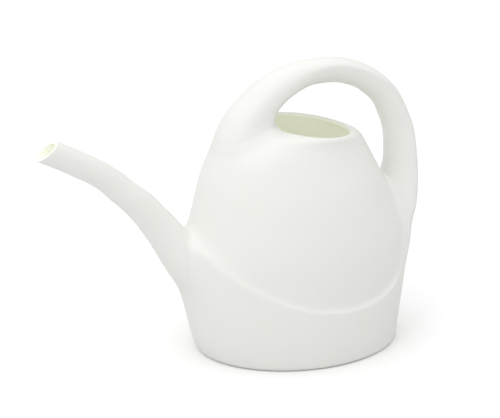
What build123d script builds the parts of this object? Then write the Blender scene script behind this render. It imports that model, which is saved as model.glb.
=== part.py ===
from build123d import *

import os
from math import cos, radians, sin

# Two-litre egg-shaped plastic watering can: an oval band with a swept rim, an egg-shaped dome welded into it,
# a goose-neck spout and a hollow loop handle.
# Millimetres, Z up, origin at the centre of the foot. The spout points to -X and the handle is at +X.
# The can is symmetric about the plane Y = 0.

os.makedirs("parts", exist_ok=True)

# ---- driving dimensions ----
foot_edge_radius = 5.0  # rounding between the foot and the band's wall
foot_thickness = 3.0
foot_ring_width = 16.0  # the band's inturned foot, from the foot's oval to the plate's opening
foot_plate_flange = 2.4  # thickness of the plate's flange, which lies on the inturned foot
foot_plate_floor = 2.4  # thickness of the plate's pan
foot_plate_gap = 1.5  # from the flange's edge to the band's inside
foot_plate_chamfer = 0.8
dome_wall = 2.4
dome_waist = 60.0  # height at which the dome's wall is level
lip_width = 2.5  # the dome's rolled edge round the mouth
mouth_clearance = 9.0  # the mouth's passage stays clear this far above and below its lip
limb_wall = 2.2  # wall of the spout and of the hollow handle
skirt_lap = 8.0  # how far the dome's skirt reaches down inside the band
reach = 400.0  # beyond the whole can, for the regions that cut it

# Horizontal ovals of the band's outside: height, front X, rear X, half width
band_ovals = [
    (0.0, -81.0, 84.5, 67.5),
    (9.0, -84.0, 85.2, 68.6),
    (24.0, -87.0, 86.5, 70.0),
    (47.0, -89.0, 89.0, 71.0),
    (70.0, -91.0, 92.0, 71.5),
    (95.0, -92.0, 96.0, 73.0),
    (122.0, -93.0, 100.5, 74.0),
]

# Ovals of the dome's outside: centre X and Z, tilt down to the rear in degrees, half length, half width
dome_ovals = [
    (0.0, foot_thickness, 0.0, 82.5, 65.0),
    (0.0, 24.0, 0.0, 84.0, 67.0),
    (0.0, 47.0, 0.0, 85.8, 68.0),
    (0.5, 66.0, 0.0, 87.6, 68.8),
    (0.5, 84.0, 0.0, 87.6, 68.8),
    (-0.3, 100.0, 0.0, 84.0, 67.0),
    (-1.2, 118.0, 0.0, 78.5, 63.2),
    (-2.4, 135.0, 0.0, 73.4, 58.0),
    (-3.8, 150.0, 0.5, 67.6, 51.6),
    (-3.2, 161.0, 1.5, 61.8, 46.6),
    (1.2, 168.8, 3.5, 54.0, 43.2),
    (6.6, 173.3, 6.0, 45.0, 41.8),
    (11.2, 175.1, 7.5, 36.0, 40.2),
]

# The band's swept rim seen from the side: X, Z, from the spout round to the handle
rim_line = [
    (-116.0, 126.0),
    (-94.0, 112.0),
    (-79.0, 92.5),
    (-60.0, 73.0),
    (-35.0, 58.5),
    (-5.0, 48.4),
    (20.0, 45.8),
    (46.0, 47.5),
    (65.0, 54.0),
    (80.0, 69.0),
    (90.0, 76.0),
    (112.0, 78.0),
]

# Spout: centre X and Z, heading above the horizontal in degrees, radius in the middle plane, half width
spout_ovals = [
    (-210.0, 186.0, 28.0, 10.2, 10.2),
    (-192.0, 176.4, 28.0, 10.3, 10.3),
    (-174.0, 166.6, 30.0, 10.4, 10.4),
    (-150.0, 151.6, 36.0, 10.6, 10.6),
    (-126.0, 130.0, 46.0, 11.4, 11.4),
    (-108.0, 107.5, 53.0, 13.6, 14.0),
    (-92.0, 81.0, 58.0, 16.5, 22.0),
    (-80.0, 62.0, 60.0, 18.5, 32.0),
    (-67.0, 44.0, 65.0, 23.0, 42.0),
    (-60.0, 28.0, 72.0, 23.0, 44.0),
]
spout_face_centre = (-196.6, 178.4)  # X, Z of the centre of the obliquely cut mouth
spout_face_angle = 53.0  # which way the cut faces: degrees above the horizontal, towards -X

# Handle: crest X and Z, outward direction in degrees, half width, height outside the crest, height inside it
handle_ovals = [
    (-27.0, 150.0, 178.0, 34.0, 43.0, 8.0),
    (-27.0, 168.0, 170.0, 30.0, 36.0, 6.0),
    (-26.0, 186.0, 160.0, 25.0, 24.0, 5.5),
    (-16.1, 202.2, 138.0, 20.0, 13.0, 6.5),
    (3.4, 214.3, 116.0, 15.0, 9.0, 10.5),
    (26.9, 220.3, 93.0, 11.5, 6.2, 14.0),
    (49.2, 216.9, 73.0, 11.5, 6.2, 14.5),
    (68.0, 208.4, 52.0, 12.5, 5.5, 15.5),
    (82.2, 195.0, 33.0, 14.0, 5.0, 16.5),
    (94.3, 167.0, 13.0, 17.0, 4.0, 17.2),
    (96.9, 134.0, -2.0, 21.0, 3.6, 17.5),
    (95.4, 113.0, -6.0, 24.0, 3.8, 21.0),
    (90.5, 92.4, -9.0, 28.0, 4.8, 18.0),
    (85.0, 75.0, -11.0, 33.0, 7.3, 13.0),
    (77.0, 60.0, -11.0, 39.0, 13.0, 9.0),
]


def oval_stack(ovals, inset=0.0):
    """Solid through tilted ovals: each is a centre X and Z, a tilt, a half length and a half width."""
    with BuildPart() as stack:
        for x, z, tilt, half_length, half_width in ovals:
            lean = radians(tilt)
            along = (cos(lean), 0, -sin(lean))
            upward = (sin(lean), 0, cos(lean))
            with BuildSketch(Plane(origin=(x, 0, z), x_dir=along, z_dir=upward)):
                Ellipse(half_length - inset, half_width - inset)
        loft()
    return stack.part


def spout_stack(inset=0.0):
    """Solid of the spout, or of its bore where inset is the wall."""
    with BuildPart() as stack:
        for x, z, heading, radius, half_width in spout_ovals:
            angle = radians(heading)
            ahead = (-cos(angle), 0, sin(angle))
            with BuildSketch(Plane(origin=(x, 0, z), x_dir=(0, 1, 0), z_dir=ahead)):
                Ellipse(half_width - inset, radius - inset)
        loft()
    return stack.part


def handle_stack(inset=0.0):
    """Solid of the handle: each section is two half ovals that meet on the two crests."""
    with BuildPart() as stack:
        for x, z, outward, half_width, outer, inner in handle_ovals:
            angle = radians(outward)
            ahead = (sin(angle), 0, -cos(angle))
            with BuildSketch(Plane(origin=(x, 0, z), x_dir=(0, 1, 0), z_dir=ahead)):
                with BuildLine():
                    EllipticalCenterArc((0, 0), half_width - inset, outer - inset, 0, arc_size=180)
                    EllipticalCenterArc((0, 0), half_width - inset, inner - inset, 180, arc_size=180)
                make_face()
        loft()
    return stack.part


def side_region(line_points, corners):
    """Region across the whole width, bounded by a smooth line and by straight sides through the corners."""
    with BuildPart() as region:
        with BuildSketch(Plane.XZ):
            with BuildLine():
                line = Spline(line_points)
                Polyline(line @ 1, *corners, line @ 0)
            make_face()
        extrude(amount=reach, both=True)
    return region.part


def under_rim(drop=0.0):
    """Everything below the swept rim, lowered by drop."""
    points = [(x, z - drop) for x, z in rim_line]
    corners = [(reach, points[-1][1]), (reach, -reach), (-reach, -reach), (-reach, points[0][1])]
    return side_region(points, corners)


def outside_crest():
    """Everything on the outer side of the handle's crest line."""
    points = [(station[0], station[1]) for station in handle_ovals]
    corners = [(points[-1][0], -reach), (reach, -reach), (reach, reach), (-reach, reach)]
    corners.append((-reach, points[0][1]))
    return side_region(points, corners)


def spout_face_plane():
    """The plane of the spout's obliquely cut mouth."""
    angle = radians(spout_face_angle)
    centre_x, centre_z = spout_face_centre
    return Plane(origin=(centre_x, 0, centre_z), x_dir=(0, 1, 0), z_dir=(-cos(angle), 0, sin(angle)))


def mouth_plane():
    """The plane of the dome's mouth, which is the last of its ovals."""
    x, z, tilt, half_length, half_width = dome_ovals[-1]
    lean = radians(tilt)
    return Plane(origin=(x, 0, z), x_dir=(cos(lean), 0, -sin(lean)), z_dir=(sin(lean), 0, cos(lean)))


# ---- lofted bodies that the pieces are cut from ----
foot_centre = (band_ovals[0][1] + band_ovals[0][2]) / 2
foot_half_length = (band_ovals[0][2] - band_ovals[0][1]) / 2
foot_half_width = band_ovals[0][3]
mouth_half_length = dome_ovals[-1][3]
mouth_half_width = dome_ovals[-1][4]
rise = (dome_ovals[-1][1] - dome_waist - dome_wall) / (dome_ovals[-1][1] - dome_waist)

level_ovals = []
for z, front, rear, half_width in band_ovals:
    level_ovals.append(((front + rear) / 2, z, 0.0, (rear - front) / 2, half_width))
band_body = oval_stack(level_ovals)
dome_body = oval_stack(dome_ovals)
hollow_ovals = []
for x, z, tilt, half_length, half_width in dome_ovals:
    lowered = dome_waist + (z - dome_waist) * rise
    hollow_ovals.append((x, lowered, tilt, half_length - dome_wall, half_width - dome_wall))
dome_hollow = oval_stack(hollow_ovals)
spout_body = spout_stack()
spout_bore = spout_stack(limb_wall)
rim_region = under_rim()
crest_region = outside_crest()

with BuildPart() as mouth_passage:
    with BuildSketch(mouth_plane()):
        Ellipse(mouth_half_length - lip_width, mouth_half_width - lip_width)
    extrude(amount=mouth_clearance, both=True)

with BuildPart() as dome_cut:
    add(dome_hollow)
    with BuildSketch(mouth_plane()):
        Ellipse(mouth_half_length - lip_width, mouth_half_width - lip_width)
    extrude(amount=2 * mouth_clearance, both=True)

with BuildPart() as handle_wall:
    add(handle_stack())
    add(handle_stack(limb_wall), mode=Mode.SUBTRACT)
    add(dome_body, mode=Mode.SUBTRACT)
    add(mouth_passage.part, mode=Mode.SUBTRACT)

# ---- lower shell: the band with its inturned foot ----
with BuildPart() as lower_shell:
    add(band_body)
    fillet(lower_shell.edges().group_by(Axis.Z)[0], foot_edge_radius)
    add(rim_region, mode=Mode.INTERSECT)
    add(dome_body, mode=Mode.SUBTRACT)
    add(spout_bore, mode=Mode.SUBTRACT)
    with BuildSketch(Plane.XY):
        with Locations((foot_centre, 0)):
            Ellipse(foot_half_length - foot_ring_width, foot_half_width - foot_ring_width)
    extrude(amount=foot_thickness, mode=Mode.SUBTRACT)
lower_shell.part.label = "lower_shell"
export_step(lower_shell.part, "parts/lower_shell.step")

# ---- foot plate: stands in the foot's opening, its flange welded on the inturned foot ----
with BuildPart() as foot_plate:
    with BuildSketch(Plane.XY):
        with Locations((foot_centre, 0)):
            Ellipse(foot_half_length - foot_ring_width, foot_half_width - foot_ring_width)
    extrude(amount=foot_thickness)
    chamfer(foot_plate.edges().group_by(Axis.Z)[0], foot_plate_chamfer)
    with BuildSketch(Plane.XY.offset(foot_thickness)):
        Ellipse(dome_ovals[0][3] - foot_plate_gap, dome_ovals[0][4] - foot_plate_gap)
    extrude(amount=foot_plate_flange)
    with BuildSketch(Plane.XY.offset(foot_plate_floor)):
        with Locations((foot_centre, 0)):
            pan_inset = foot_ring_width + foot_plate_floor
            Ellipse(foot_half_length - pan_inset, foot_half_width - pan_inset)
    extrude(amount=reach, mode=Mode.SUBTRACT)
foot_plate.part.label = "foot_plate"
export_step(foot_plate.part, "parts/foot_plate.step")

# ---- dome shell: the egg, with its skirt inside the band and the open mouth on top ----
with BuildPart() as dome_shell:
    add(dome_body)
    add(dome_cut.part, mode=Mode.SUBTRACT)
    add(under_rim(skirt_lap), mode=Mode.SUBTRACT)
    add(spout_bore, mode=Mode.SUBTRACT)
dome_shell.part.label = "dome_shell"
export_step(dome_shell.part, "parts/dome_shell.step")

# ---- spout: a tapering tube that flares onto the band's front ----
with BuildPart() as spout:
    add(spout_body)
    with BuildSketch(spout_face_plane()):
        Rectangle(reach, reach)
    extrude(amount=reach, mode=Mode.SUBTRACT)
    add(spout_bore, mode=Mode.SUBTRACT)
    add(band_body, mode=Mode.SUBTRACT)
    add(dome_body, mode=Mode.SUBTRACT)
spout.part.label = "spout"
export_step(spout.part, "parts/spout.step")

# ---- handle: a hollow loop, moulded as an outer and an inner half that meet on the crests ----
with BuildPart() as handle_outer_shell:
    add(handle_wall.part)
    add(crest_region, mode=Mode.INTERSECT)
    add(lower_shell.part, mode=Mode.SUBTRACT)
handle_outer_shell.part.label = "handle_outer_shell"
export_step(handle_outer_shell.part, "parts/handle_outer_shell.step")

with BuildPart() as handle_inner_shell:
    add(handle_wall.part)
    add(crest_region, mode=Mode.SUBTRACT)
    add(lower_shell.part, mode=Mode.SUBTRACT)
handle_inner_shell.part.label = "handle_inner_shell"
export_step(handle_inner_shell.part, "parts/handle_inner_shell.step")
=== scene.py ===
import bisect
import math

import bmesh
import bpy
import numpy as np
from mathutils import Matrix, Vector


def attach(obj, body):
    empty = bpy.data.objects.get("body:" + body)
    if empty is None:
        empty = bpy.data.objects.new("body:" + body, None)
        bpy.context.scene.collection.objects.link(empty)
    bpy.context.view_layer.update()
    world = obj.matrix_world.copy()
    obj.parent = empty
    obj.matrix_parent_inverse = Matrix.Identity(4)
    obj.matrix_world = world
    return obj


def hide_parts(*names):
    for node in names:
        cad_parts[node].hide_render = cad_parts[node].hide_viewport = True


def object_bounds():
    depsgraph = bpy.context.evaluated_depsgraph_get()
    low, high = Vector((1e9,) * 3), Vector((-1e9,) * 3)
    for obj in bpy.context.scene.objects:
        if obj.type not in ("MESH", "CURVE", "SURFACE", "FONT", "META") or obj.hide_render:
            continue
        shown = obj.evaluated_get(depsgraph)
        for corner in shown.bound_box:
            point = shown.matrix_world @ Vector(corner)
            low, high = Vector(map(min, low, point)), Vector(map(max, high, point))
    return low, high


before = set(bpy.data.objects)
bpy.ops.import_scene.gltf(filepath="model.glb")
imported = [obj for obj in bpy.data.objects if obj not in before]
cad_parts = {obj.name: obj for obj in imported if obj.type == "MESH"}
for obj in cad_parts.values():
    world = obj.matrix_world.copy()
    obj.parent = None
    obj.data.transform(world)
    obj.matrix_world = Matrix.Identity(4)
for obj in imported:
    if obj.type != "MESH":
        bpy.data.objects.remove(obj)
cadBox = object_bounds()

# A white egg-shaped watering can. Shapes are in millimetres with the spout towards -X, and meshes in metres.
mm = 0.001
scene = bpy.context.scene

skinMaking = {
    "ringPoints": 96,        # points round each ring of the four solids
    "steps": 5,              # rings between two stations
    "voxel": 1.22,           # size of the cells that join the solids into one skin
    "evenRounds": 6,         # light smoothing of the whole skin
    "evenPush": 0.5,         # each round moves points this share of the way, and a little more back,
    "evenBack": 0.52,        # so that the can doesn't shrink
    "hollowRounds": 220,     # smoothing that fills only hollow corners with soft fillets
    "hollowBatch": 10,       # rounds between two looks at which corners are hollow
    "hollowPush": 0.5,
    "wall": 2.3,
    "inwardRounds": 6,       # smoothing of the directions in which the wall is measured
    "innerRounds": 12,       # smoothing of the wall's inner side
    "innerPush": 0.5,
}


# small tools

# Rows between the stations on a smooth curve through them
def smoothStations(stations, steps):
    rows = [tuple(float(value) for value in row) for row in stations]
    smooth = []
    for i in range(len(rows) - 1):
        before, start = rows[max(i - 1, 0)], rows[i]
        end, after = rows[i + 1], rows[min(i + 2, len(rows) - 1)]
        for step in range(steps):
            t = step / steps
            smooth.append(tuple(
                0.5 * (2 * b + (c - a) * t + (2 * a - 5 * b + 4 * c - d) * t * t
                       + (3 * b - a - 3 * c + d) * t ** 3)
                for a, b, c, d in zip(before, start, end, after)
            ))
    smooth.append(rows[-1])
    return smooth


# Value at x on a smooth curve through the points (xs, ys), with flat ends
def between(x, xs, ys):
    if x <= xs[0]:
        return ys[0]
    if x >= xs[-1]:
        return ys[-1]
    i = bisect.bisect_right(xs, x) - 1
    slopes = []
    for k in (i, i + 1):
        low, high = max(k - 1, 0), min(k + 1, len(xs) - 1)
        slopes.append((ys[high] - ys[low]) / (xs[high] - xs[low]))
    span = xs[i + 1] - xs[i]
    t = (x - xs[i]) / span
    return (
        (1 + 2 * t) * (1 - t) ** 2 * ys[i] + t * (1 - t) ** 2 * span * slopes[0]
        + t * t * (3 - 2 * t) * ys[i + 1] + t * t * (t - 1) * span * slopes[1]
    )


# A ring of points from a circle of radius 1, and its edges
def addRing(bm, count):
    made = bmesh.ops.create_circle(bm, cap_ends=False, radius=1.0, segments=count)
    ring = made["verts"]
    edges = list({edge for vert in ring for edge in vert.link_edges})
    return ring, edges


# Walls between neighbouring rings, and a cap on each end ring
def joinRings(bm, rings):
    for (_, first), (_, second) in zip(rings[:-1], rings[1:]):
        bmesh.ops.bridge_loops(bm, edges=first + second)
    for _, edges in (rings[0], rings[-1]):
        bmesh.ops.contextual_create(bm, geom=edges)


# Placing matrix of a section whose own X, Y and Z become along, the can's Y and upward
def turned(x, z, along, upward):
    return Matrix((
        (along[0], 0.0, upward[0], x),
        (0.0, 1.0, 0.0, 0.0),
        (along[1], 0.0, upward[1], z),
        (0.0, 0.0, 0.0, 1.0),
    ))


# Makes the object's modifiers part of its mesh
def applied(obj):
    graph = bpy.context.evaluated_depsgraph_get()
    graph.update()
    baked = bpy.data.meshes.new_from_object(obj.evaluated_get(graph))
    obj.modifiers.clear()
    obj.data = baked


def newObject(name, mesh):
    obj = bpy.data.objects.new(name, mesh)
    scene.collection.objects.link(obj)
    return obj


# the dome: tilted ovals, each a centre X and Z, a tilt down to the rear, a half length and a half width

dome = {
    "ovals": [
        (0.0, 18.0, 0.0, 82.5, 66.0),
        (0.5, 47.0, 0.0, 85.8, 68.0),
        (0.5, 66.0, 0.0, 87.6, 68.8),
        (0.5, 84.0, 0.0, 87.6, 68.8),
        (-0.3, 100.0, 0.0, 84.0, 67.0),
        (-1.2, 118.0, 0.0, 78.5, 63.2),
        (-2.4, 135.0, 0.0, 73.4, 58.0),
        (-3.8, 150.0, 0.5, 67.6, 51.6),
        (-3.2, 161.0, 1.5, 61.8, 46.6),
        (1.2, 168.8, 3.5, 54.0, 43.0),
        (6.6, 173.3, 6.0, 45.0, 41.8),
        (11.2, 175.1, 7.5, 36.0, 40.2),
    ],
}


def addDome(bm):
    rings = []
    for x, z, tilt, halfLength, halfWidth in smoothStations(dome["ovals"], skinMaking["steps"]):
        ring, edges = addRing(bm, skinMaking["ringPoints"])
        lean = math.radians(tilt)
        place = turned(x, z, (math.cos(lean), -math.sin(lean)), (math.sin(lean), math.cos(lean)))
        bmesh.ops.transform(bm, matrix=place @ Matrix.Diagonal((halfLength, halfWidth, 1.0, 1.0)), verts=ring)
        rings.append((ring, edges))
    joinRings(bm, rings)


# the band: level ovals, and the height of its swept rim along its length

band = {
    "heights": [0.0, 9.0, 24.0, 47.0, 70.0, 95.0, 122.0],
    "fronts": [-78.6, -82.0, -86.2, -90.2, -91.8, -92.4, -93.5],
    "rears": [84.5, 85.4, 87.2, 90.5, 94.0, 97.5, 101.0],
    "halfWidths": [67.5, 68.6, 70.0, 71.0, 71.5, 73.0, 74.0],
    "rimX": [-96.0, -86.0, -79.0, -60.0, -35.0, -5.0, 20.0, 46.0, 65.0, 78.0, 88.0],
    "rimZ": [103.0, 94.0, 87.5, 71.5, 58.0, 48.4, 45.8, 47.5, 54.0, 66.5, 82.0],
    "rimGuess": 60.0,        # a first height for the rim, which the rounds correct
    "rimRounds": 8,
    "edgeSteps": 6,          # rings that round the foot's edge
    "footEdge": 2.8,
    "wallSteps": 22,
    "shelf": 9.0,            # how far the rim's flat reaches inwards, under the dome
    "cap": (30.0, 40.0),     # radius and height of the ring that closes the band inside the dome
}


def bandPoint(angle, height, inset=0.0):
    front = between(height, band["heights"], band["fronts"])
    rear = between(height, band["heights"], band["rears"])
    halfWidth = between(height, band["heights"], band["halfWidths"])
    x = (front + rear) / 2 + ((rear - front) / 2 - inset) * math.cos(angle)
    return Vector((x, (halfWidth - inset) * math.sin(angle), height))


def rimHeight(angle):
    height = band["rimGuess"]
    for _ in range(band["rimRounds"]):
        height = between(bandPoint(angle, height).x, band["rimX"], band["rimZ"])
    return height


def addBand(bm):
    rings = []
    levels = []
    points = skinMaking["ringPoints"] * 2
    rounding = band["footEdge"]
    for step in range(band["edgeSteps"] + 1):
        turn = math.radians(90) * step / band["edgeSteps"]
        levels.append(("edge", rounding * (1 - math.cos(turn)), rounding * (1 - math.sin(turn))))
    for step in range(1, band["wallSteps"] + 1):
        levels.append(("wall", step / band["wallSteps"], 0.0))
    levels.append(("wall", 1.0, band["shelf"] * 0.5))
    levels.append(("wall", 1.0, band["shelf"]))
    for kind, height, inset in levels:
        ring, edges = addRing(bm, points)
        for vert in ring:
            angle = math.atan2(vert.co.y, vert.co.x)
            level = height
            if kind == "wall":
                level = rounding + (rimHeight(angle) - rounding) * height
            vert.co = bandPoint(angle, level, inset)
        rings.append((ring, edges))
    ring, edges = addRing(bm, points)
    radius, height = band["cap"]
    place = Matrix.Translation((0, 0, height)) @ Matrix.Diagonal((radius, radius, 1, 1))
    bmesh.ops.transform(bm, matrix=place, verts=ring)
    rings.append((ring, edges))
    joinRings(bm, rings)


# the spout: centre X and Z, heading above the horizontal, radius in the middle plane, half width

spout = {
    "ovals": [
        (-214.0, 188.3, 28.0, 10.6, 10.6),
        (-192.0, 176.7, 28.0, 10.8, 10.6),
        (-174.0, 167.1, 30.0, 11.4, 10.9),
        (-150.0, 152.3, 36.0, 11.7, 11.2),
        (-126.4, 129.7, 46.0, 11.8, 11.8),
        (-108.4, 106.9, 53.0, 13.6, 14.2),
        (-91.3, 81.6, 58.0, 16.4, 22.0),
        (-79.0, 62.2, 60.0, 17.4, 29.0),
        (-67.4, 44.0, 65.0, 22.8, 34.0),
        (-57.0, 24.0, 72.0, 19.0, 31.0),
    ],
    "faceCentre": (-196.6, 178.4),
    "faceAngle": 53.0,       # which way the cut end faces: degrees above the horizontal
    "faceDepth": 9.0,        # how far behind it the bore is trimmed to the same slant
}


def spoutFace():
    angle = math.radians(spout["faceAngle"])
    x, z = spout["faceCentre"]
    return Vector((x, 0, z)), Vector((-math.cos(angle), 0, math.sin(angle)))


def addSpout(bm):
    rings = []
    for x, z, heading, radius, halfWidth in smoothStations(spout["ovals"], skinMaking["steps"]):
        ring, edges = addRing(bm, skinMaking["ringPoints"])
        angle = math.radians(heading)
        place = turned(x, z, (math.sin(angle), math.cos(angle)), (-math.cos(angle), math.sin(angle)))
        bmesh.ops.transform(bm, matrix=place @ Matrix.Diagonal((radius, halfWidth, 1.0, 1.0)), verts=ring)
        rings.append((ring, edges))
    joinRings(bm, rings)


# the handle: crest X and Z, outward direction, half width, height outside and inside the crests, fullness

handle = {
    "ovals": [
        (-22.0, 136.0, 184.0, 24.0, 36.0, 14.0, 1.1),
        (-23.0, 148.0, 182.0, 23.0, 41.8, 14.0, 1.1),
        (-24.0, 158.0, 180.0, 21.5, 42.0, 12.0, 1.05),
        (-24.0, 168.0, 176.0, 19.5, 40.0, 8.0, 0.95),
        (-23.0, 181.0, 168.0, 17.5, 32.6, 3.0, 0.75),
        (-21.4, 191.9, 155.0, 17.0, 22.6, 4.5, 0.5),
        (-14.6, 200.9, 142.0, 16.5, 18.6, 6.0, 0.3),
        (-5.6, 208.4, 128.0, 15.5, 14.8, 8.0, 0.2),
        (3.8, 214.4, 115.0, 14.0, 11.0, 10.0, 0.1),
        (13.2, 218.5, 105.0, 12.5, 7.9, 11.8, 0.05),
        (26.9, 221.0, 93.0, 11.5, 5.9, 13.8, 0.0),
        (38.0, 220.3, 84.0, 11.5, 5.6, 14.0, 0.0),
        (49.2, 217.5, 73.0, 11.5, 5.4, 14.3, 0.0),
        (60.3, 213.2, 63.0, 12.0, 4.9, 14.8, 0.0),
        (68.0, 208.4, 52.0, 12.5, 4.7, 15.5, 0.0),
        (75.0, 203.0, 42.0, 13.0, 4.5, 16.0, 0.0),
        (82.2, 195.0, 33.0, 14.0, 4.2, 16.5, 0.0),
        (89.5, 181.0, 22.0, 15.5, 3.8, 17.0, 0.0),
        (94.3, 167.0, 13.0, 17.0, 3.6, 17.2, 0.0),
        (96.3, 151.0, 4.0, 19.0, 3.4, 17.2, 0.0),
        (96.9, 134.0, -2.0, 21.0, 3.4, 18.0, 0.0),
        (95.4, 113.0, -6.0, 24.0, 3.8, 22.0, 0.0),
        (90.5, 92.4, -9.0, 28.0, 4.8, 20.0, 0.0),
        (85.0, 75.0, -11.0, 33.0, 7.3, 15.0, 0.0),
        (75.0, 60.0, -11.0, 36.5, 13.0, 10.0, 0.0),
        (66.0, 42.0, -11.0, 34.0, 13.0, 10.0, 0.0),
    ],
}


def addHandle(bm):
    rings = []
    for x, z, outward, halfWidth, outer, inner, full in smoothStations(handle["ovals"], skinMaking["steps"]):
        ring, edges = addRing(bm, skinMaking["ringPoints"])
        for vert in ring:
            across, out = vert.co.y, vert.co.x
            swell = 1 + full * max(out, 0.0)
            vert.co = Vector((out * (outer if out > 0 else inner), across * halfWidth * swell, 0.0))
        angle = math.radians(outward)
        place = turned(x, z, (math.cos(angle), math.sin(angle)), (-math.sin(angle), math.cos(angle)))
        bmesh.ops.transform(bm, matrix=place, verts=ring)
        rings.append((ring, edges))
    joinRings(bm, rings)


# one smooth skin from the four solids

def edgePairs(mesh):
    pairs = np.empty(len(mesh.edges) * 2, dtype=np.int64)
    mesh.edges.foreach_get("vertices", pairs)
    return pairs.reshape(-1, 2)


def pointsOf(mesh):
    co = np.empty(len(mesh.vertices) * 3)
    mesh.vertices.foreach_get("co", co)
    return co.reshape(-1, 3)


def normalsOf(mesh):
    normals = np.empty(len(mesh.vertices) * 3, dtype=np.float32)
    mesh.vertex_normals.foreach_get("vector", normals)
    return normals.reshape(-1, 3).astype(float)


def setPoints(mesh, co):
    mesh.vertices.foreach_set("co", co.astype(np.float32).ravel())
    mesh.update()


# Mean of each point's neighbours
def neighbourMean(values, pairs):
    count = len(values)
    a, b = pairs[:, 0], pairs[:, 1]
    degree = np.bincount(a, minlength=count) + np.bincount(b, minlength=count)
    total = np.stack([
        np.bincount(a, weights=values[b, k], minlength=count)
        + np.bincount(b, weights=values[a, k], minlength=count)
        for k in range(values.shape[1])
    ], axis=1)
    return total / np.maximum(degree, 1)[:, None]


def ramp(values, low, high):
    t = np.clip((values - low) / (high - low), 0.0, 1.0)
    return t * t * (3 - 2 * t)


# Each pair is where an effect begins and where it is full, in millimetres up or along the can
softening = {
    "spoutX": (45.0, 75.0),          # round the spout's root, measured towards the spout
    "spoutZ": (30.0, 60.0),
    "spoutTop": (92.0, 108.0),       # firmer again above this
    "spoutFirm": 0.6,
    "rearX": (55.0, 75.0),           # round the handle's foot
    "rearZ": (58.0, 80.0),
    "rootX": (2.0, 22.0),            # round the handle's front root, measured towards the spout
    "rootZ": (138.0, 150.0),
    "rootTop": (176.0, 190.0),
    "rootTopX": (-50.0, -36.0),
    "mouthZ": (165.0, 172.0),
    "mouth": 0.4,
    "elsewhere": 0.06,
}


# How freely hollow corners fill: softest at the spout's root and at both ends of the handle
def hollowFreedom(co):
    x, z = co[:, 0], co[:, 2]
    firm = 1 - softening["spoutFirm"] * ramp(z, *softening["spoutTop"])
    front = ramp(-x, *softening["spoutX"]) * ramp(z, *softening["spoutZ"]) * firm
    rear = ramp(x, *softening["rearX"]) * ramp(z, *softening["rearZ"])
    below = 1 - ramp(z, *softening["rootTop"]) * ramp(x, *softening["rootTopX"])
    root = ramp(-x, *softening["rootX"]) * ramp(z, *softening["rootZ"]) * below
    mouth = softening["mouth"] * ramp(z, *softening["mouthZ"])
    return np.maximum.reduce([front, rear, root, mouth, np.full(len(co), softening["elsewhere"])])


melting = {
    "underRim": (3.0, 14.0),         # under the spout's root: how far below the rim
    "spoutX": (40.0, 62.0),
    "spoutZ": (10.0, 26.0),
    "noseX": (62.0, 78.0),
    "nose": 0.35,
    "spoutEnd": (84.0, 99.0),
    "spout": 0.7,
    "rootX": (34.0, 46.0),           # under the handle's front root
    "rootZ": (136.0, 148.0),
    "rootTop": (162.0, 198.0),
    "root": 0.7,
    "rearX": (66.0, 80.0),           # where the handle grows out of the band
    "rearZ": (40.0, 54.0),
    "rearTop": (88.0, 108.0),
    "rear": 0.5,
}


# Where ridges melt too: under the spout's root, and where the handle grows out of the dome and the band
def ridgeFreedom(co):
    x, z = co[:, 0], co[:, 2]
    under = ramp(np.interp(x, band["rimX"], band["rimZ"]) - z, *melting["underRim"])
    nose = np.maximum(under, melting["nose"] * ramp(-x, *melting["noseX"]))
    front = ramp(-x, *melting["spoutX"]) * ramp(z, *melting["spoutZ"]) * nose
    front *= melting["spout"] * (1 - ramp(-x, *melting["spoutEnd"]))
    root = melting["root"] * ramp(-x, *melting["rootX"]) * ramp(z, *melting["rootZ"])
    root *= 1 - ramp(z, *melting["rootTop"])
    rear = melting["rear"] * ramp(x, *melting["rearX"]) * ramp(z, *melting["rearZ"])
    rear *= 1 - ramp(z, *melting["rearTop"])
    return np.maximum.reduce([front, root, rear])


def makeSkin():
    bm = bmesh.new()
    addDome(bm)
    addBand(bm)
    addSpout(bm)
    addHandle(bm)
    bmesh.ops.recalc_face_normals(bm, faces=bm.faces)
    mesh = bpy.data.meshes.new("solids")
    bm.to_mesh(mesh)
    bm.free()
    skin = newObject("skin", mesh)
    cells = skin.modifiers.new("cells", "REMESH")
    cells.mode = "VOXEL"
    cells.voxel_size = skinMaking["voxel"]
    applied(skin)
    mesh = skin.data
    print("skin joined:", len(mesh.vertices), "points")
    pairs = edgePairs(mesh)
    co = pointsOf(mesh)
    for _ in range(skinMaking["evenRounds"]):
        co += skinMaking["evenPush"] * (neighbourMean(co, pairs) - co)
        co -= skinMaking["evenBack"] * (neighbourMean(co, pairs) - co)
    for _ in range(skinMaking["hollowRounds"] // skinMaking["hollowBatch"]):
        setPoints(mesh, co)
        normals = normalsOf(mesh)
        hollows, ridges = hollowFreedom(co), ridgeFreedom(co)
        for _ in range(skinMaking["hollowBatch"]):
            pull = neighbourMean(co, pairs) - co
            hollow = np.einsum("ij,ij->i", pull, normals) > 0
            freedom = np.where(hollow, np.maximum(hollows, ridges), ridges)
            co += (skinMaking["hollowPush"] * freedom)[:, None] * pull
    setPoints(mesh, co)
    print("skin smoothed")
    return skin


# How far a point lies outside the dome's wall
def outsideDome(co):
    rows = np.array(smoothStations(dome["ovals"], skinMaking["steps"]))
    x, y, z = co.T
    level = z.copy()
    for _ in range(4):
        lean = np.radians(np.interp(level, rows[:, 1], rows[:, 2]))
        level = z + (x - np.interp(level, rows[:, 1], rows[:, 0])) * np.tan(lean)
    middle, halfLength, halfWidth = (np.interp(level, rows[:, 1], rows[:, k]) for k in (0, 3, 4))
    return (np.hypot((x - middle) / halfLength, y / halfWidth) - 1) * halfWidth


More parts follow.
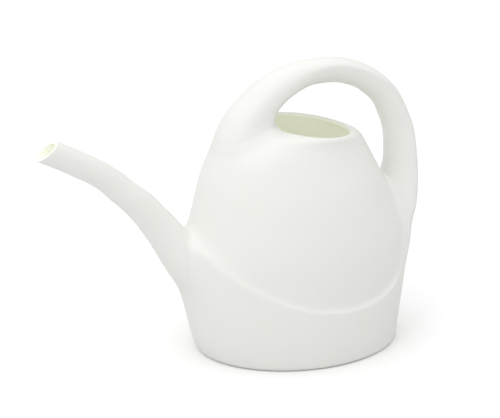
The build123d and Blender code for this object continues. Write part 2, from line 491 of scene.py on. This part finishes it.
# How far a point lies beyond the handle's crest line, away from the hand
def outsideCrest(co):
    rows = np.array(smoothStations(handle["ovals"], skinMaking["steps"]))
    flat = co[:, [0, 2]]
    best = np.full(len(co), np.inf)
    result = np.zeros(len(co))
    turn = np.radians(rows[:, 2])
    for (start, end, first, second) in zip(rows[:-1, :2], rows[1:, :2], turn[:-1], turn[1:]):
        run = end - start
        share = np.clip(((flat - start) @ run) / (run @ run), 0, 1)
        offset = flat - start - share[:, None] * run
        far = np.hypot(offset[:, 0], offset[:, 1])
        angle = first + share * (second - first)
        out = offset[:, 0] * np.cos(angle) + offset[:, 1] * np.sin(angle)
        nearer = far < best
        best[nearer] = far[nearer]
        result[nearer] = out[nearer]
    return result


pieceLines = {
    "spoutSeam": -95.0,      # X of the ring where the spout is welded on
    "rootFront": (-22.0, 185.0, 0.33),   # a line over the dome's top: X, Z and its slope
    "rootFrontEnd": 60.0,    # X up to which that line holds
    "rootRear": 78.0,        # Z of the handle's foot
    "rootRearStart": 30.0,   # X from which that height holds
    "rimStep": 1.2,          # the dome's seam lies this far out on the rim's flat
    "rimLowest": 30.0,
    "mouth": (33.5, 37.7),   # half length and half width of the opening
    "mouthReach": (2.5, 6.0),    # how far above and below the lip's plane the opening is cut
    "footRing": 16.0,
    "footReach": 4.0,        # height to which the foot's opening is cut
}


def handleField(co):
    x, _, z = co.T
    startX, startZ, slope = pieceLines["rootFront"]
    front = np.minimum(z - startZ - (x - startX) * slope, pieceLines["rootFrontEnd"] - x)
    step = outsideDome(co) - pieceLines["rimStep"]
    rear = np.minimum.reduce([step, x - pieceLines["rootRearStart"], z - pieceLines["rootRear"]])
    return np.maximum(front, rear)


def mouthField(co):
    x, z, tilt = dome["ovals"][-1][:3]
    lean = math.radians(tilt)
    offset = co - np.array([x, 0.0, z])
    along = offset[:, 0] * math.cos(lean) - offset[:, 2] * math.sin(lean)
    height = offset[:, 0] * math.sin(lean) + offset[:, 2] * math.cos(lean)
    halfLength, halfWidth = pieceLines["mouth"]
    oval = (np.hypot(along / halfLength, offset[:, 1] / halfWidth) - 1) * halfWidth
    above, below = pieceLines["mouthReach"]
    return np.maximum.reduce([oval, height - above, -height - below])


def footField(co):
    middle = (band["fronts"][0] + band["rears"][0]) / 2
    halfLength = (band["rears"][0] - band["fronts"][0]) / 2 - pieceLines["footRing"]
    halfWidth = band["halfWidths"][0] - pieceLines["footRing"]
    oval = (np.hypot((co[:, 0] - middle) / halfLength, co[:, 1] / halfWidth) - 1) * halfWidth
    return np.maximum(oval, co[:, 2] - pieceLines["footReach"])


def spoutEndField(co):
    centre, facing = spoutFace()
    return (np.array(centre) - co) @ np.array(facing)


def rimField(co):
    return np.maximum(outsideDome(co) - pieceLines["rimStep"], pieceLines["rimLowest"] - co[:, 2])


def spoutField(co):
    return co[:, 0] - pieceLines["spoutSeam"]


# Puts edges through the faces that a field's zero crosses, where the mask allows it
def cutAlong(bm, field, mask=None, tolerance=0.05):
    verts = list(bm.verts)
    co = np.array([vert.co[:] for vert in verts])
    value = field(co)
    side = np.where(np.abs(value) < tolerance, 0, np.sign(value)).astype(int)
    if mask is not None:
        side[~mask(co)] = 9  # neither side, so that nothing is cut there
    side = dict(zip(verts, side.tolist()))
    value = dict(zip(verts, value.tolist()))
    touched = set()
    for vert in verts:
        if side[vert] == 0:
            touched.update(vert.link_faces)
    crossed = [edge for edge in bm.edges if side[edge.verts[0]] * side[edge.verts[1]] == -1]
    for edge in crossed:
        first, second = edge.verts
        touched.update(edge.link_faces)
        _, made = bmesh.utils.edge_split(edge, first, value[first] / (value[first] - value[second]))
        side[made] = 0
    for face in touched:
        loop = list(face.verts)
        turns = []
        for index, vert in enumerate(loop):
            before = side[loop[index - 1]]
            after = side[loop[(index + 1) % len(loop)]]
            if side[vert] == 0 and before * after == -1:
                turns.append(index)
        if len(turns) == 2:
            bmesh.utils.face_split(face, loop[turns[0]], loop[turns[1]])


def faceCentres(bm):
    return np.array([face.calc_center_median()[:] for face in bm.faces])


# Gives a point where a piece only touches itself to the larger piece round it
def mendPinches(bm, pieceLayer):
    for vert in bm.verts:
        areas = {}
        for face in vert.link_faces:
            areas[face[pieceLayer]] = areas.get(face[pieceLayer], 0.0) + face.calc_area()
        if len(areas) < 2:
            continue
        for piece in list(areas):
            ends = 0
            for edge in vert.link_edges:
                ends += sum(face[pieceLayer] == piece for face in edge.link_faces) == 1
            if ends > 2:
                winner = max(areas, key=areas.get)
                for face in vert.link_faces:
                    face[pieceLayer] = winner
                break


# How far each cut may run, so that it leaves the rest of the skin alone
cutLimits = {
    "spoutEnd": -150.0,      # the spout's end is cut below this X
    "mouth": 150.0,          # the mouth above this Z
    "foot": 5.0,             # the foot's opening below this Z
    "handle": (-80.0, 70.0),     # the handle's seams beyond this X and Z
    "rim": (-97.0, 25.0),        # the rim's seam beyond this X and Z
    "handlePiece": -95.0,    # nothing in front of this X belongs to the handle
    "overrun": 0.2,          # how far a seam runs past another that it meets
}


# Cuts the openings and seams, and numbers each face with its piece
def cutSkin(skin, pieceNames):
    mesh = skin.data
    pairs = edgePairs(mesh)
    co = pointsOf(mesh)
    normals = normalsOf(mesh)
    soft = normals.copy()
    for _ in range(skinMaking["inwardRounds"]):
        soft += skinMaking["innerPush"] * (neighbourMean(soft, pairs) - soft)
    soft /= np.linalg.norm(soft, axis=1)[:, None]
    within = co - skinMaking["wall"] * soft
    for _ in range(skinMaking["innerRounds"]):
        within += skinMaking["innerPush"] * (neighbourMean(within, pairs) - within)
    centre, facing = (np.array(vector) for vector in spoutFace())
    tip = math.radians(spout["ovals"][0][2])
    heading = np.array([-math.cos(tip), 0, math.sin(tip)])
    behind = (centre - co) @ facing
    near = (1 - ramp(behind, 0.0, spout["faceDepth"])) * (co[:, 0] < cutLimits["spoutEnd"])
    level = (centre - within) @ facing
    within += (near * (level - behind) / (heading @ facing))[:, None] * heading
    bm = bmesh.new()
    bm.from_mesh(mesh)
    normalLayer = bm.verts.layers.float_vector.new("skinNormal")
    withinLayer = bm.verts.layers.float_vector.new("within")
    for vert, normal, place in zip(bm.verts, normals, within):
        vert[normalLayer] = normal
        vert[withinLayer] = place
    handleX, handleZ = cutLimits["handle"]
    rimX, rimZ = cutLimits["rim"]
    overrun = cutLimits["overrun"]
    cutAlong(bm, spoutEndField, lambda co: co[:, 0] < cutLimits["spoutEnd"])
    cutAlong(bm, mouthField, lambda co: co[:, 2] > cutLimits["mouth"])
    cutAlong(bm, footField, lambda co: co[:, 2] < cutLimits["foot"])
    centres = faceCentres(bm)
    gone = (spoutEndField(centres) < 0) & (centres[:, 0] < cutLimits["spoutEnd"])
    gone |= (mouthField(centres) < 0) & (centres[:, 2] > cutLimits["mouth"])
    gone |= (footField(centres) < 0) & (centres[:, 2] < cutLimits["foot"])
    bm.faces.ensure_lookup_table()
    bmesh.ops.delete(bm, geom=[bm.faces[k] for k in np.flatnonzero(gone)], context="FACES")
    cutAlong(bm, spoutField)
    cutAlong(bm, handleField, lambda co: (co[:, 2] > handleZ) & (co[:, 0] > handleX))
    cutAlong(bm, outsideCrest, lambda co: handleField(co) > -overrun)
    cutAlong(bm, rimField, lambda co: (handleField(co) < overrun) & (co[:, 0] > rimX) & (co[:, 2] > rimZ))
    centres = faceCentres(bm)
    number = np.where(rimField(centres) > 0, pieceNames.index("lower_shell"), pieceNames.index("dome_shell"))
    number[spoutField(centres) < 0] = pieceNames.index("spout")
    isHandle = (handleField(centres) > 0) & (centres[:, 0] > cutLimits["handlePiece"])
    outer = outsideCrest(centres) > 0
    number[isHandle & outer] = pieceNames.index("handle_outer_shell")
    number[isHandle & ~outer] = pieceNames.index("handle_inner_shell")
    pieceLayer = bm.faces.layers.int.new("piece")
    for face, value in zip(bm.faces, number.tolist()):
        face[pieceLayer] = value
    mendPinches(bm, pieceLayer)
    print("skin cut:", [(name, int((number == k).sum())) for k, name in enumerate(pieceNames)])
    bm.to_mesh(mesh)
    bm.free()
    return mesh


# One piece of the skin as a closed shell with a real wall
def makeShell(mesh, index, name):
    bm = bmesh.new()
    bm.from_mesh(mesh)
    pieceLayer = bm.faces.layers.int["piece"]
    bmesh.ops.delete(bm, geom=[face for face in bm.faces if face[pieceLayer] != index], context="FACES")
    normalLayer = bm.verts.layers.float_vector["skinNormal"]
    withinLayer = bm.verts.layers.float_vector["within"]
    # marks the inner wall, which gets the painted tint and the painted glow
    insideLayer = bm.verts.layers.float.new("inside")
    outerFaces = set(bm.faces)
    made = bmesh.ops.extrude_face_region(bm, geom=bm.faces[:], use_keep_orig=True)["geom"]
    innerFaces = {item for item in made if isinstance(item, bmesh.types.BMFace)}
    for vert in [item for item in made if isinstance(item, bmesh.types.BMVert)]:
        vert.co = vert[withinLayer]
        vert[insideLayer] = 1.0
    bmesh.ops.recalc_face_normals(bm, faces=bm.faces)
    if bm.calc_volume(signed=True) < 0:
        bmesh.ops.reverse_faces(bm, faces=bm.faces[:])
    kinds = {face: 1 if face in innerFaces else (0 if face in outerFaces else 2) for face in bm.faces}
    for edge in bm.edges:
        edge.smooth = len({kinds[face] for face in edge.link_faces}) == 1
    bmesh.ops.transform(bm, matrix=Matrix.Scale(mm, 4), verts=bm.verts)
    shell = bpy.data.meshes.new(name)
    loopNormals = []
    bm.faces.index_update()
    for face in bm.faces:
        face.smooth = True
        for loop in face.loops:
            loopNormals.append(loop.vert[normalLayer].normalized() if kinds[face] == 0 else Vector((0, 0, 0)))
    openEdges = sum(not edge.is_manifold for edge in bm.edges)
    bm.verts.layers.float_vector.remove(withinLayer)
    bm.verts.layers.float_vector.remove(bm.verts.layers.float_vector["skinNormal"])
    bm.faces.layers.int.remove(bm.faces.layers.int["piece"])
    bm.to_mesh(shell)
    bm.free()
    shell.normals_split_custom_set(loopNormals)
    print("piece", name, len(shell.polygons), "faces,", openEdges, "open edges")
    return newObject(name, shell)


# The floor of the vessel: a pan with a welded flange, its rings a half length, a half width and a height
footPan = {
    "centre": 1.75,
    "rings": [
        (30.0, 20.0, 1.7),
        (54.0, 38.7, 1.7),
        (56.0, 40.7, 0.8),
        (64.9, 49.6, 0.8),
        (66.1, 50.8, 1.8),
        (66.1, 50.8, 2.5),
        (76.5, 61.2, 2.5),
        (76.5, 61.2, 4.9),
        (30.0, 20.0, 4.9),
    ],
    "ringPoints": 160,
    "sharp": 30.0,           # edges that bend more than this are rounded
    "edge": 0.45,
    "edgeSegments": 3,
    "insideFrom": 2.4,       # what lies higher faces the inside of the can
}


def makeFootPan():
    bm = bmesh.new()
    rings = []
    for halfLength, halfWidth, height in footPan["rings"]:
        ring, edges = addRing(bm, footPan["ringPoints"])
        middle = Matrix.Translation((footPan["centre"], 0, height))
        place = middle @ Matrix.Diagonal((halfLength, halfWidth, 1, 1))
        bmesh.ops.transform(bm, matrix=place, verts=ring)
        rings.append((ring, edges))
    joinRings(bm, rings)
    bmesh.ops.recalc_face_normals(bm, faces=bm.faces)
    sharp = [edge for edge in bm.edges if edge.calc_face_angle(0.0) > math.radians(footPan["sharp"])]
    bmesh.ops.bevel(bm, geom=sharp, offset=footPan["edge"], segments=footPan["edgeSegments"],
                    affect="EDGES", profile=0.5, material=-1)
    for face in bm.faces:
        face.smooth = True
    bmesh.ops.transform(bm, matrix=Matrix.Scale(mm, 4), verts=bm.verts)
    # the pan's upper faces get the painted tint and the painted glow too
    inside = bm.verts.layers.float.new("inside")
    for vert in bm.verts:
        vert[inside] = 1.0 if vert.co.z > footPan["insideFrom"] * mm else 0.0
    mesh = bpy.data.meshes.new("footPan")
    bm.to_mesh(mesh)
    bm.free()
    pan = newObject("footPan", mesh)
    weighted = pan.modifiers.new("evenShade", "WEIGHTED_NORMAL")
    weighted.keep_sharp = True
    return pan


plastic = {
    "white": (0.86, 0.865, 0.845),
    "creamPatch": (0.84, 0.845, 0.80),
    # painted light: the inside faces get a tint that stands in for daylight coming through the wall
    "paintedThroughLightTint": (0.89, 0.895, 0.83),
    "paintedInsideGlow": (0.105, 0.107, 0.086),     # painted glow: emission on the inside faces that stands in for daylight coming through the wall
    "refraction": 1.49,
    "glow": 0.12,            # how much light the wall lets through
    "glowRadius": (1.0, 0.95, 0.8),
    "glowDepth": 0.004,
    "grainScale": 1100.0,
    "grainDetail": 3.0,
    "grainDepth": 0.12,
    "grainHeight": 0.0002,
    "cloudScale": 14.0,
    "cloudDetail": 2.0,
    "cloudRange": (0.3, 0.7),
    "satin": (0.36, 0.48),   # roughness in the darkest and the lightest cloud
}


# Fine grain and faint cloudiness, which every plastic face of the can shares
def mouldedGrain():
    group = bpy.data.node_groups.new("mouldedGrain", "ShaderNodeTree")
    face = group.interface
    face.new_socket("Position", in_out="INPUT", socket_type="NodeSocketVector")
    for name, value in (("Grain Scale", plastic["grainScale"]), ("Cloud Scale", plastic["cloudScale"])):
        face.new_socket(name, in_out="INPUT", socket_type="NodeSocketFloat").default_value = value
    for name in ("Height", "Cloud", "Satin"):
        face.new_socket(name, in_out="OUTPUT", socket_type="NodeSocketFloat")
    nodes, links = group.nodes, group.links
    entry = nodes.new("NodeGroupInput")
    leave = nodes.new("NodeGroupOutput")
    grain = nodes.new("ShaderNodeTexNoise")
    grain.inputs["Detail"].default_value = plastic["grainDetail"]
    links.new(entry.outputs["Position"], grain.inputs["Vector"])
    links.new(entry.outputs["Grain Scale"], grain.inputs["Scale"])
    cloud = nodes.new("ShaderNodeTexNoise")
    cloud.inputs["Detail"].default_value = plastic["cloudDetail"]
    links.new(entry.outputs["Position"], cloud.inputs["Vector"])
    links.new(entry.outputs["Cloud Scale"], cloud.inputs["Scale"])
    satin = nodes.new("ShaderNodeMapRange")
    satin.inputs["From Min"].default_value, satin.inputs["From Max"].default_value = plastic["cloudRange"]
    satin.inputs["To Min"].default_value, satin.inputs["To Max"].default_value = plastic["satin"]
    links.new(cloud.outputs["Fac"], satin.inputs["Value"])
    links.new(grain.outputs["Fac"], leave.inputs["Height"])
    links.new(cloud.outputs["Fac"], leave.inputs["Cloud"])
    links.new(satin.outputs["Result"], leave.inputs["Satin"])
    return group


def makeWhitePlastic(grainGroup):
    material = bpy.data.materials.new("satinWhitePlastic")
    material.use_nodes = True
    nodes, links = material.node_tree.nodes, material.node_tree.links
    shader = nodes["Principled BSDF"]
    shader.inputs["IOR"].default_value = plastic["refraction"]
    shader.inputs["Subsurface Weight"].default_value = plastic["glow"]
    shader.inputs["Subsurface Radius"].default_value = plastic["glowRadius"]
    shader.inputs["Subsurface Scale"].default_value = plastic["glowDepth"]
    place = nodes.new("ShaderNodeTexCoord")
    grain = nodes.new("ShaderNodeGroup")
    grain.node_tree = grainGroup
    grain.inputs["Grain Scale"].default_value = plastic["grainScale"]
    grain.inputs["Cloud Scale"].default_value = plastic["cloudScale"]
    links.new(place.outputs["Object"], grain.inputs["Position"])
    tone = nodes.new("ShaderNodeMix")
    tone.data_type = "RGBA"
    tone.inputs["A"].default_value = (*plastic["white"], 1.0)
    tone.inputs["B"].default_value = (*plastic["creamPatch"], 1.0)
    links.new(grain.outputs["Cloud"], tone.inputs["Factor"])
    inside = nodes.new("ShaderNodeAttribute")
    inside.attribute_name = "inside"
    # Inner faces get a painted tint that stands in for light coming through the wall
    paintedInsideTint = nodes.new("ShaderNodeMix")
    paintedInsideTint.data_type = "RGBA"
    paintedInsideTint.inputs["B"].default_value = (*plastic["paintedThroughLightTint"], 1.0)
    links.new(inside.outputs["Fac"], paintedInsideTint.inputs["Factor"])
    links.new(tone.outputs["Result"], paintedInsideTint.inputs["A"])
    links.new(paintedInsideTint.outputs["Result"], shader.inputs["Base Color"])
    # Inner faces get a painted glow: emission that stands in for daylight coming through the wall
    glow = nodes.new("ShaderNodeMix")
    glow.data_type = "RGBA"
    glow.inputs["A"].default_value = (0.0, 0.0, 0.0, 1.0)
    glow.inputs["B"].default_value = (*plastic["paintedInsideGlow"], 1.0)
    links.new(inside.outputs["Fac"], glow.inputs["Factor"])
    links.new(glow.outputs["Result"], shader.inputs["Emission Color"])
    shader.inputs["Emission Strength"].default_value = 1.0
    links.new(grain.outputs["Satin"], shader.inputs["Roughness"])
    bump = nodes.new("ShaderNodeBump")
    bump.inputs["Strength"].default_value = plastic["grainDepth"]
    bump.inputs["Distance"].default_value = plastic["grainHeight"]
    links.new(grain.outputs["Height"], bump.inputs["Height"])
    links.new(bump.outputs["Normal"], shader.inputs["Normal"])
    return material


# Studio: floor, lights and camera
studio = {
    "floorRadius": 9.0,
    "floorPoints": 96,
    "floorTone": (0.98, 0.98, 0.98),         # the floor as the camera sees it
    "floorBounce": (0.74, 0.74, 0.74),       # and as it lights the can from below
    "floorRoughness": 0.95,
    "floorGloss": 0.1,
    "skyLow": 0.52,          # brightness of the surround at the horizon and overhead
    "skyHigh": 1.18,
    "skyLeft": 1.16,         # and how much brighter or dimmer it is on either side
    "skyRight": 0.84,
    "keyPlace": (-1.3, -1.1, 1.9),
    "keySize": 1.6,
    "keyPower": 5.2,
    "aim": (-0.04, 0.0, 0.09),
    "exposure": 0.16,
}


def addSoftbox(name, place, size, power):
    light = bpy.data.lights.new(name, "AREA")
    light.shape = "DISK"
    light.size = size
    light.energy = power
    lamp = newObject(name, light)
    lamp.location = place
    lamp.rotation_euler = (Vector(place) - Vector(studio["aim"])).to_track_quat("Z", "Y").to_euler()


def makeStudio():
    bm = bmesh.new()
    bmesh.ops.create_circle(bm, cap_ends=True, radius=studio["floorRadius"], segments=studio["floorPoints"])
    mesh = bpy.data.meshes.new("studioFloor")
    bm.to_mesh(mesh)
    bm.free()
    floor = newObject("studioFloor", mesh)
    paper = bpy.data.materials.new("palePaper")
    paper.use_nodes = True
    shader = paper.node_tree.nodes["Principled BSDF"]
    shader.inputs["Roughness"].default_value = studio["floorRoughness"]
    shader.inputs["Specular IOR Level"].default_value = studio["floorGloss"]
    seen = paper.node_tree.nodes.new("ShaderNodeLightPath")
    tone = paper.node_tree.nodes.new("ShaderNodeMix")
    tone.data_type = "RGBA"
    tone.inputs["A"].default_value = (*studio["floorBounce"], 1.0)
    tone.inputs["B"].default_value = (*studio["floorTone"], 1.0)
    paper.node_tree.links.new(seen.outputs["Is Camera Ray"], tone.inputs["Factor"])
    paper.node_tree.links.new(tone.outputs["Result"], shader.inputs["Base Color"])
    floor.data.materials.append(paper)
    world = bpy.data.worlds.new("paleStudio")
    world.use_nodes = True
    nodes, links = world.node_tree.nodes, world.node_tree.links
    where = nodes.new("ShaderNodeTexCoord")
    parts = nodes.new("ShaderNodeSeparateXYZ")
    sky = nodes.new("ShaderNodeMapRange")
    sky.inputs["To Min"].default_value = studio["skyLow"]
    sky.inputs["To Max"].default_value = studio["skyHigh"]
    links.new(where.outputs["Generated"], parts.inputs["Vector"])
    links.new(parts.outputs["Z"], sky.inputs["Value"])
    nodes["Background"].inputs["Color"].default_value = (1.0, 1.0, 1.0, 1.0)
    sideways = nodes.new("ShaderNodeMapRange")
    sideways.inputs["From Min"].default_value = -1.0
    sideways.inputs["To Min"].default_value = studio["skyLeft"]
    sideways.inputs["To Max"].default_value = studio["skyRight"]
    links.new(parts.outputs["X"], sideways.inputs["Value"])
    both = nodes.new("ShaderNodeMath")
    both.operation = "MULTIPLY"
    links.new(sky.outputs["Result"], both.inputs[0])
    links.new(sideways.outputs["Result"], both.inputs[1])
    seen = nodes.new("ShaderNodeLightPath")
    strength = nodes.new("ShaderNodeMix")
    strength.inputs["B"].default_value = 1.0
    links.new(seen.outputs["Is Camera Ray"], strength.inputs["Factor"])
    links.new(both.outputs["Value"], strength.inputs["A"])
    links.new(strength.outputs["Result"], nodes["Background"].inputs["Strength"])
    scene.world = world
    addSoftbox("keySoftbox", studio["keyPlace"], studio["keySize"], studio["keyPower"])
    scene.view_settings.view_transform = "Standard"
    scene.view_settings.exposure = studio["exposure"]


camera = {
    "turn": -23.0,           # degrees round the can from the front
    "rise": 23.0,            # degrees above the floor
    "distance": 1.5,
    "lens": 135.0,
    "sensor": 36.0,
    "aside": 0.02293,        # how far the view leans to the right and up, as slopes
    "up": 0.06827,
}


def makeCamera():
    turn, rise = math.radians(camera["turn"]), math.radians(camera["rise"])
    back = Vector((math.sin(turn) * math.cos(rise), -math.cos(turn) * math.cos(rise), math.sin(rise)))
    right = Vector((math.cos(turn), math.sin(turn), 0.0))
    up = back.cross(right)
    look = -back - camera["aside"] * right + camera["up"] * up
    towards = -look.normalized()
    level = (right - right.dot(towards) * towards).normalized()
    lens = bpy.data.cameras.new("studioCamera")
    lens.lens = camera["lens"]
    lens.sensor_width = camera["sensor"]
    lens.dof.use_dof = False
    view = newObject("studioCamera", lens)
    axes = Matrix((level, towards.cross(level), towards)).transposed()
    view.matrix_world = Matrix.Translation(back * camera["distance"]) @ axes.to_4x4()
    scene.camera = view


def makeCan():
    pieceNames = ["dome_shell", "lower_shell", "spout", "handle_outer_shell", "handle_inner_shell"]
    skin = makeSkin()
    mesh = cutSkin(skin, pieceNames)
    white = makeWhitePlastic(mouldedGrain())
    pieces = [(makeShell(mesh, k, name + "_look"), name) for k, name in enumerate(pieceNames)]
    pieces.append((makeFootPan(), "foot_plate"))
    bpy.data.objects.remove(skin)
    for piece, node in pieces:
        piece.data.materials.clear()
        piece.data.materials.append(white)
        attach(piece, "root")
        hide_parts(node)
    print("can made")


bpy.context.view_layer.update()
makeCan()
makeStudio()
print("studio made")
makeCamera()
